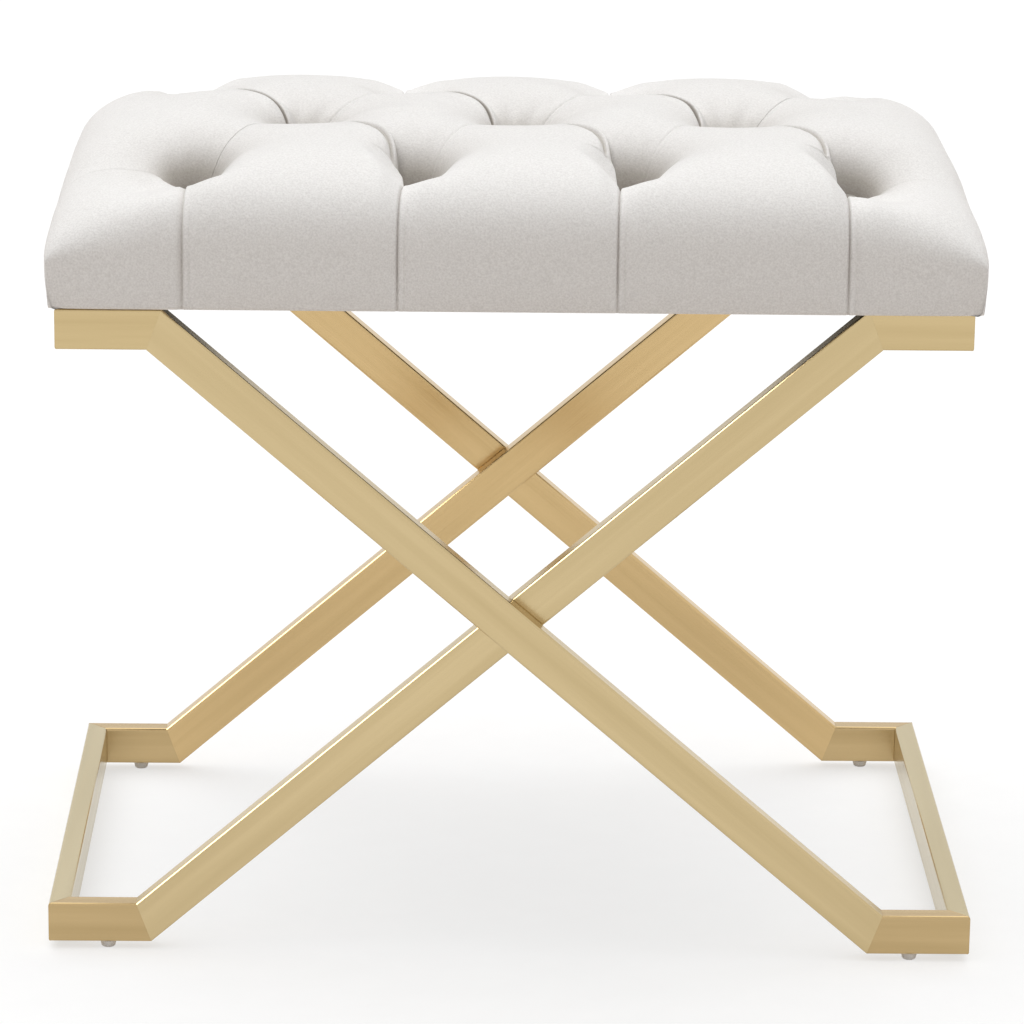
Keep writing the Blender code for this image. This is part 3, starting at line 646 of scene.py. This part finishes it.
for drawn, lift in hem_steps:
    skirt.append((1, drawn, np.full(len(rim), seat_bottom + lift)))
layers = [flat_points]
for step, drawn, level in skirt:
    plan = ring[:, :2] + (smooth_ring - ring)[:, :2] * step**2
    layers.append(np.stack([plan[:, 0] - out_x * drawn, plan[:, 1] - out_y * drawn, level], axis=-1))
quads = [grid_faces(index)]
loop = rim
start = rows * columns
for layer in range(len(skirt)):
    next_loop = np.arange(start, start + len(rim))
    start += len(rim)
    quads.append(np.stack([loop, next_loop, np.roll(next_loop, -1), np.roll(loop, -1)], axis=-1))
    loop = next_loop


def mark_painted_shade(mesh, values):
    """Stores how much painted shade each point gets, darkest deep in pits and folds where shadow falls.
    """
    marks = mesh.attributes.new("painted_shade", "FLOAT", "POINT")
    marks.data.foreach_set("value", values)


cushion_mesh = bpy.data.meshes.new("tufted_velvet_cushion")
cushion_mesh.from_pydata(np.concatenate(layers).tolist(), [], np.concatenate(quads).tolist())
cushion_mesh.shade_smooth()
# The skirt carries the painted shade of the seat edge above it
painted_shade = np.concatenate([painted_shade.reshape(-1), np.tile(painted_shade.reshape(-1)[rim], len(skirt))])
mark_painted_shade(cushion_mesh, painted_shade.astype(np.float32))
cushion = bpy.data.objects.new("tufted_velvet_cushion", cushion_mesh)
bpy.context.scene.collection.objects.link(cushion)

velvet, tree, shader = new_material("seat_velvet")
nap = textured(tree, "ShaderNodeTexNoise", Scale=800.0, Detail=3.0, Roughness=0.6)
brushing = textured(tree, "ShaderNodeTexNoise", Scale=22.0, Detail=2.0)
pale = ramp(tree, nap.outputs["Fac"], ((0.3, (0.71, 0.695, 0.68)), (0.7, (0.86, 0.85, 0.835))))
# Painted shade: the stored shade darkens the pile colour, most in pits and folds where shadow falls
depth = tree.nodes.new("ShaderNodeAttribute")
depth.attribute_name = "painted_shade"
unshaded_stops = ((0.0, (1, 1, 1)), (0.2, (0.90, 0.89, 0.88)))
shaded_stops = ((0.5, (0.52, 0.49, 0.45)), (1.0, (0.26, 0.235, 0.205)))
painted_shade_colour = ramp(tree, depth.outputs["Fac"], unshaded_stops + shaded_stops)
velvet_with_painted_shade = tree.nodes.new("ShaderNodeMix")
velvet_with_painted_shade.data_type = "RGBA"
velvet_with_painted_shade.blend_type = "MULTIPLY"
velvet_with_painted_shade.inputs["Factor"].default_value = 1.0
tree.links.new(pale, velvet_with_painted_shade.inputs["A"])
tree.links.new(painted_shade_colour, velvet_with_painted_shade.inputs["B"])
tree.links.new(velvet_with_painted_shade.outputs["Result"], shader.inputs["Base Color"])
soft = bump(tree, brushing.outputs["Fac"], 0.15, 0.002)
tree.links.new(bump(tree, nap.outputs["Fac"], 0.5, 0.0006, soft), shader.inputs["Normal"])
shader.inputs["Roughness"].default_value = 0.9
shader.inputs["Specular IOR Level"].default_value = 0.2
shader.inputs["Sheen Weight"].default_value = 0.35
shader.inputs["Sheen Roughness"].default_value = 0.45
cushion_mesh.materials.append(velvet)
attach(cushion, "root")
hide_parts("velvet_cover", "foam_pad")

# Tuft buttons. Small domed buttons covered in the same velvet. The twine under each one draws it
# down to the bottom of its tuft.

button_radius = 0.0075
button_sink = 0.040
dome_share = 0.45
underside_share = 0.35
button_shade = 0.8
bpy.ops.object.select_all(action="DESELECT")
bpy.ops.mesh.primitive_uv_sphere_add(segments=24, ring_count=14, radius=button_radius)
button_form = bpy.context.object
bpy.ops.object.mode_set(mode="EDIT")
bpy.ops.mesh.select_all(action="SELECT")
bpy.ops.transform.resize(value=(1, 1, dome_share))
bpy.ops.mesh.select_all(action="DESELECT")
bpy.ops.object.mode_set(mode="OBJECT")
for vertex in button_form.data.vertices:
    vertex.select = vertex.co.z < -0.0001
bpy.ops.object.mode_set(mode="EDIT")
bpy.ops.mesh.select_mode(type="VERT")
bpy.ops.transform.resize(value=(1, 1, underside_share), center_override=(0, 0, 0))
bpy.ops.object.mode_set(mode="OBJECT")
bpy.ops.object.shade_smooth()
button_form.data.materials.append(velvet)
# The buttons sit deep in the pits, so their colour gets painted shade as well
mark_painted_shade(button_form.data, [button_shade] * len(button_form.data.vertices))
for tuft, spot in zip(tuft_names, tuft_spots):
    button = button_form.copy()
    button.data = button_form.data.copy()
    button.name = f"covered_button_{tuft}"
    button.data.transform(Matrix.Translation((spot.x, spot.y, seat_crest - button_sink)))
    bpy.context.scene.collection.objects.link(button)
    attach(button, "root")
    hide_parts(f"button_{tuft}")
bpy.data.objects.remove(button_form)

# Stage. A pale floor that keeps a soft shadow, an even white room and a wide light from above.
# A second light, from the left, shows only in the reflections of the gold. The camera is the
# one that fits the photo.

bpy.ops.object.select_all(action="DESELECT")
bpy.ops.mesh.primitive_plane_add(size=40)
floor = bpy.context.object
floor.name = "floor"
floor_paint, tree, shader = new_material("floor_paint")
speck = textured(tree, "ShaderNodeTexNoise", Scale=30.0)
pale_floor = ramp(tree, speck.outputs["Fac"], ((0.3, (0.36, 0.36, 0.36)), (0.7, (0.37, 0.37, 0.37))))
path = tree.nodes.new("ShaderNodeLightPath")
bounce = tree.nodes.new("ShaderNodeMix")
bounce.data_type = "RGBA"
bounce.inputs["B"].default_value = (0.60, 0.553, 0.515, 1)
tree.links.new(path.outputs["Is Diffuse Ray"], bounce.inputs["Factor"])
tree.links.new(pale_floor, bounce.inputs["A"])
tree.links.new(bounce.outputs["Result"], shader.inputs["Base Color"])
glow = tree.nodes.new("ShaderNodeMix")
glow.inputs["A"].default_value = 0.62
glow.inputs["B"].default_value = 0.0
tree.links.new(path.outputs["Is Diffuse Ray"], glow.inputs["Factor"])
tree.links.new(glow.outputs["Result"], shader.inputs["Emission Strength"])
shader.inputs["Emission Color"].default_value = (1, 1, 1, 1)
shader.inputs["Roughness"].default_value = 0.9
shader.inputs["Specular IOR Level"].default_value = 0.0
floor.data.materials.append(floor_paint)

world = bpy.data.worlds.new("studio")
bpy.context.scene.world = world
world.use_nodes = True
tree = world.node_tree
room = tree.nodes["Background"]
direction = tree.nodes.new("ShaderNodeTexCoord")
parts = tree.nodes.new("ShaderNodeSeparateXYZ")
tree.links.new(direction.outputs["Generated"], parts.inputs["Vector"])
low_sky = ((0.0, (0.12, 0.115, 0.11)), (0.35, (0.26, 0.25, 0.24)))
high_sky = ((0.7, (0.92, 0.92, 0.92)), (1.0, (1.0, 1.0, 1.0)))
sky = ramp(tree, parts.outputs["Z"], low_sky + high_sky)
tree.links.new(sky, room.inputs["Color"])
room.inputs["Strength"].default_value = 1.12
backdrop = tree.nodes.new("ShaderNodeBackground")
backdrop.inputs["Color"].default_value = (1, 1, 1, 1)
path = tree.nodes.new("ShaderNodeLightPath")
seen = tree.nodes.new("ShaderNodeMath")
seen.operation = "MAXIMUM"
shown = tree.nodes.new("ShaderNodeMath")
shown.operation = "MAXIMUM"
mix = tree.nodes.new("ShaderNodeMixShader")
tree.links.new(path.outputs["Is Camera Ray"], seen.inputs[0])
tree.links.new(path.outputs["Is Glossy Ray"], seen.inputs[1])
tree.links.new(seen.outputs["Value"], shown.inputs[0])
tree.links.new(path.outputs["Is Transmission Ray"], shown.inputs[1])
tree.links.new(shown.outputs["Value"], mix.inputs["Fac"])
tree.links.new(room.outputs["Background"], mix.inputs[1])
tree.links.new(backdrop.outputs["Background"], mix.inputs[2])
tree.links.new(mix.outputs["Shader"], tree.nodes["World Output"].inputs["Surface"])

sun_data = bpy.data.lights.new("ceiling_light", "SUN")
sun_data.energy = 1.32
sun_data.angle = radians(70)
sun = bpy.data.objects.new("ceiling_light", sun_data)
sun.rotation_euler = (radians(-22), radians(-8), 0)
bpy.context.scene.collection.objects.link(sun)

side_data = bpy.data.lights.new("side_light", "SUN")
side_data.energy = 1.8
side_data.angle = radians(40)
side_light = bpy.data.objects.new("side_light", side_data)
side_way = Vector((-0.76, -0.21, 0.61))
side_light.rotation_euler = side_way.to_track_quat("Z", "Y").to_euler()
side_light.visible_diffuse = False
bpy.context.scene.collection.objects.link(side_light)

camera_data = bpy.data.cameras.new("camera")
camera_data.lens = 168.63
camera_data.sensor_width = 36.0
camera = bpy.data.objects.new("camera", camera_data)
yaw, pitch, roll = radians(0.996), radians(15.992), radians(0.714)
forward = Vector((sin(yaw) * cos(pitch), cos(yaw) * cos(pitch), -sin(pitch)))
right = Vector((cos(yaw), -sin(yaw), 0))
up = right.cross(forward)
camera_x = right * cos(roll) + up * sin(roll)
camera_y = up * cos(roll) - right * sin(roll)
camera_place = Matrix.Translation((-0.0517, -3.0902, 1.129))
camera_turn = Matrix((camera_x, camera_y, -forward)).transposed().to_4x4()
camera.matrix_world = camera_place @ camera_turn
bpy.context.scene.collection.objects.link(camera)
bpy.context.scene.camera = camera
bpy.context.scene.view_settings.view_transform = "Standard"
